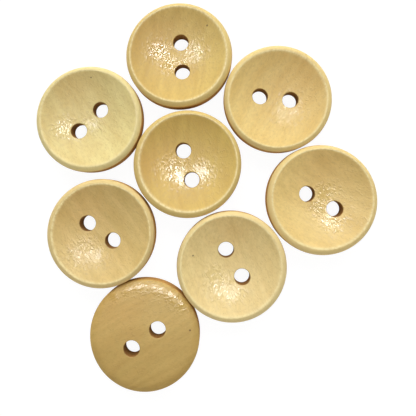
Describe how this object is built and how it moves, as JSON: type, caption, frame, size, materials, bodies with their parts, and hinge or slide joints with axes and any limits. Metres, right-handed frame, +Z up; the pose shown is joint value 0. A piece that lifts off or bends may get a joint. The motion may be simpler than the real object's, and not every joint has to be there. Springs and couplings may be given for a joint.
{
  "type": "set of wooden buttons",
  "caption": "Loose round sew-through buttons turned from pale wood, with dished faces, rounded rims, domed backs and thread holes, lying edge to edge.",
  "frame": {"origin": "on the surface that the buttons lie on, under the middle of the set's outline", "axes": "+Z up from that surface, +Y along the set's longer side away from the face-down button, +X to the right when the set is seen from above"},
  "size_m": [0.063, 0.0716, 0.0045],
  "materials": {
    "wood_middle": "pale close-grained wood under a thin clear lacquer",
    "wood_upper_left": "pale close-grained wood under a thin clear lacquer",
    "wood_top": "pale close-grained wood under a thin clear lacquer",
    "wood_upper_right": "pale close-grained wood under a thin clear lacquer",
    "wood_right": "pale close-grained wood under a thin clear lacquer",
    "wood_lower_left": "pale close-grained wood under a thin clear lacquer",
    "wood_lower_middle": "pale close-grained wood under a thin clear lacquer",
    "wood_face_down": "pale close-grained wood under a thin clear lacquer"
  },
  "bodies": {
    "root": {"button_middle": "wood_middle", "button_upper_left": "wood_upper_left", "button_top": "wood_top", "button_upper_right": "wood_upper_right", "button_right": "wood_right", "button_lower_left": "wood_lower_left", "button_lower_middle": "wood_lower_middle", "button_face_down": "wood_face_down"}
  },
  "joints": []
}
